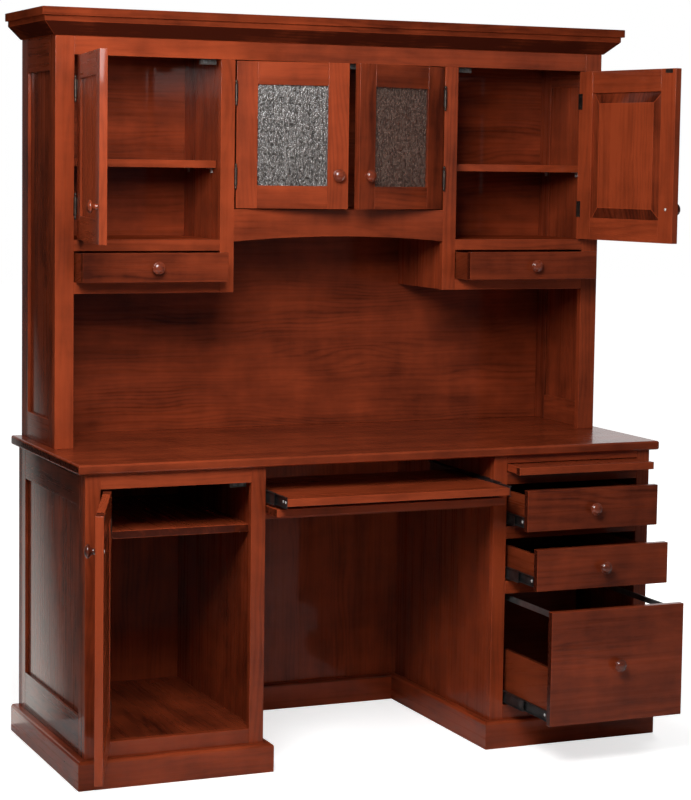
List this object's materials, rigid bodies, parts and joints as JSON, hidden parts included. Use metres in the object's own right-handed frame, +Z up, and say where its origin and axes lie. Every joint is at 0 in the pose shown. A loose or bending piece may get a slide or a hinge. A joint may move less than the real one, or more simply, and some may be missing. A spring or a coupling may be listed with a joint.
{
  "type": "computer desk",
  "caption": "Cherry computer desk with pedestals, keyboard tray, writing board, file drawer, and a hutch with panelled and glass doors, small drawers and a crown moulding.",
  "frame": {"origin": "middle of the desk's back at the floor", "axes": "+X to the desk's right as seen from the front, +Y to the back (towards the wall), +Z up"},
  "size_m": [1.6717, 0.9561, 1.851],
  "materials": {
    "cherry_wood": "cherry stain under satin lacquer",
    "drawer_wood": "lighter stained wood, satin",
    "textured_glass": "seeded texture",
    "slide_steel": "black",
    "hinge_steel": "dark bronze",
    "file_rail_steel": "grey",
    "catch_plastic": "brown-grey",
    "rest_steel": "zinc plated"
  },
  "bodies": {
    "desk": {"arched_rail": "cherry_wood", "base_back_panels": "cherry_wood", "base_end_frames": "cherry_wood", "base_face_frame": "cherry_wood", "crown_moulding": "cherry_wood", "desktop": "cherry_wood", "door_catches": "catch_plastic", "end_panels": "cherry_wood", "hinge_frame_leaves": "hinge_steel", "hutch_back": "cherry_wood", "hutch_decks": "cherry_wood", "hutch_end_frames": "cherry_wood", "hutch_face_frame": "cherry_wood", "hutch_partitions": "cherry_wood", "pedestal_floors": "cherry_wood", "pedestal_gables": "cherry_wood", "plinth": "cherry_wood", "shelf_rests": "rest_steel", "shelves": "cherry_wood", "slide_cabinet_members": "slide_steel", "wooden_runners": "drawer_wood"},
    "left_hutch_door": {"left_hutch_door_frame": "cherry_wood", "left_hutch_door_hardware": "hinge_steel", "left_hutch_door_panel": "cherry_wood"},
    "right_hutch_door": {"right_hutch_door_frame": "cherry_wood", "right_hutch_door_hardware": "hinge_steel", "right_hutch_door_panel": "cherry_wood"},
    "left_glass_door": {"left_glass_door_frame": "cherry_wood", "left_glass_door_glass": "textured_glass", "left_glass_door_hardware": "hinge_steel"},
    "right_glass_door": {"right_glass_door_frame": "cherry_wood", "right_glass_door_glass": "textured_glass", "right_glass_door_hardware": "hinge_steel"},
    "cupboard_door": {"cupboard_door_frame": "cherry_wood", "cupboard_door_hardware": "hinge_steel", "cupboard_door_panel": "cherry_wood"},
    "upper_drawer": {"upper_drawer_front": "cherry_wood", "upper_drawer_box": "drawer_wood", "upper_drawer_slide_members": "slide_steel"},
    "upper_drawer_middles": {"upper_drawer_slide_middles": "slide_steel"},
    "middle_drawer": {"middle_drawer_front": "cherry_wood", "middle_drawer_box": "drawer_wood", "middle_drawer_slide_members": "slide_steel"},
    "middle_drawer_middles": {"middle_drawer_slide_middles": "slide_steel"},
    "file_drawer": {"file_drawer_front": "cherry_wood", "file_drawer_box": "drawer_wood", "file_drawer_slide_members": "slide_steel", "file_rails": "file_rail_steel"},
    "file_drawer_middles": {"file_drawer_slide_middles": "slide_steel"},
    "writing_board": {"writing_board": "cherry_wood"},
    "keyboard_tray": {"keyboard_tray": "cherry_wood", "tray_slide_members": "slide_steel"},
    "tray_middles": {"tray_slide_middles": "slide_steel"},
    "drop_front": {"drop_front": "cherry_wood", "drop_front_hardware": "hinge_steel"},
    "left_hutch_drawer": {"left_hutch_drawer_front": "cherry_wood", "left_hutch_drawer_box": "drawer_wood"},
    "right_hutch_drawer": {"right_hutch_drawer_front": "cherry_wood", "right_hutch_drawer_box": "drawer_wood"}
  },
  "joints": [
    {"name": "left_hutch_door_hinge", "type": "hinge", "parent": "desk", "child": "left_hutch_door", "pos_m": [-0.7085, -0.3093, 0], "axis": [0, 0, -1], "range_deg": [-99, 66]},
    {"name": "right_hutch_door_hinge", "type": "hinge", "parent": "desk", "child": "right_hutch_door", "pos_m": [0.7085, -0.3093, 0], "axis": [0, 0, 1], "range_deg": [-101, 64]},
    {"name": "left_glass_door_hinge", "type": "hinge", "parent": "desk", "child": "left_glass_door", "pos_m": [-0.291, -0.3093, 0], "axis": [0, 0, -1], "range_deg": [-12, 108]},
    {"name": "right_glass_door_hinge", "type": "hinge", "parent": "desk", "child": "right_glass_door", "pos_m": [0.291, -0.3093, 0], "axis": [0, 0, 1], "range_deg": [-17, 103]},
    {"name": "cupboard_door_hinge", "type": "hinge", "parent": "desk", "child": "cupboard_door", "pos_m": [-0.7265, -0.5943, 0], "axis": [0, 0, -1], "range_deg": [-110, 55]},
    {"name": "upper_drawer_slide", "type": "slide", "parent": "desk", "child": "upper_drawer", "axis": [0, -1, 0], "range_m": [-0.11, 0.34]},
    {"name": "upper_drawer_middles_slide", "type": "slide", "parent": "desk", "child": "upper_drawer_middles", "axis": [0, -1, 0], "range_m": [-0.055, 0.17]},
    {"name": "middle_drawer_slide", "type": "slide", "parent": "desk", "child": "middle_drawer", "axis": [0, -1, 0], "range_m": [-0.166, 0.284]},
    {"name": "middle_drawer_middles_slide", "type": "slide", "parent": "desk", "child": "middle_drawer_middles", "axis": [0, -1, 0], "range_m": [-0.083, 0.142]},
    {"name": "file_drawer_slide", "type": "slide", "parent": "desk", "child": "file_drawer", "axis": [0, -1, 0], "range_m": [-0.248, 0.202]},
    {"name": "file_drawer_middles_slide", "type": "slide", "parent": "desk", "child": "file_drawer_middles", "axis": [0, -1, 0], "range_m": [-0.124, 0.101]},
    {"name": "writing_board_slide", "type": "slide", "parent": "desk", "child": "writing_board", "axis": [0, -1, 0], "range_m": [-0.058, 0.26]},
    {"name": "keyboard_tray_slide", "type": "slide", "parent": "desk", "child": "keyboard_tray", "axis": [0, -1, 0], "range_m": [-0.133, 0.167]},
    {"name": "tray_middles_slide", "type": "slide", "parent": "desk", "child": "tray_middles", "axis": [0, -1, 0], "range_m": [-0.0665, 0.0835]},
    {"name": "drop_front_hinge", "type": "hinge", "parent": "desk", "child": "drop_front", "pos_m": [0, -0.5677, 0.6593], "axis": [-1, 0, 0], "range_deg": [0, 4]},
    {"name": "left_hutch_drawer_slide", "type": "slide", "parent": "desk", "child": "left_hutch_drawer", "axis": [0, -1, 0], "range_m": [-0.069, 0.131]},
    {"name": "right_hutch_drawer_slide", "type": "slide", "parent": "desk", "child": "right_hutch_drawer", "axis": [0, -1, 0], "range_m": [-0.086, 0.114]}
  ],
  "couplings": [
    {"joint": "upper_drawer_middles_slide", "follows": "upper_drawer_slide", "ratio": 0.5},
    {"joint": "middle_drawer_middles_slide", "follows": "middle_drawer_slide", "ratio": 0.5},
    {"joint": "file_drawer_middles_slide", "follows": "file_drawer_slide", "ratio": 0.5},
    {"joint": "tray_middles_slide", "follows": "keyboard_tray_slide", "ratio": 0.5}
  ]
}
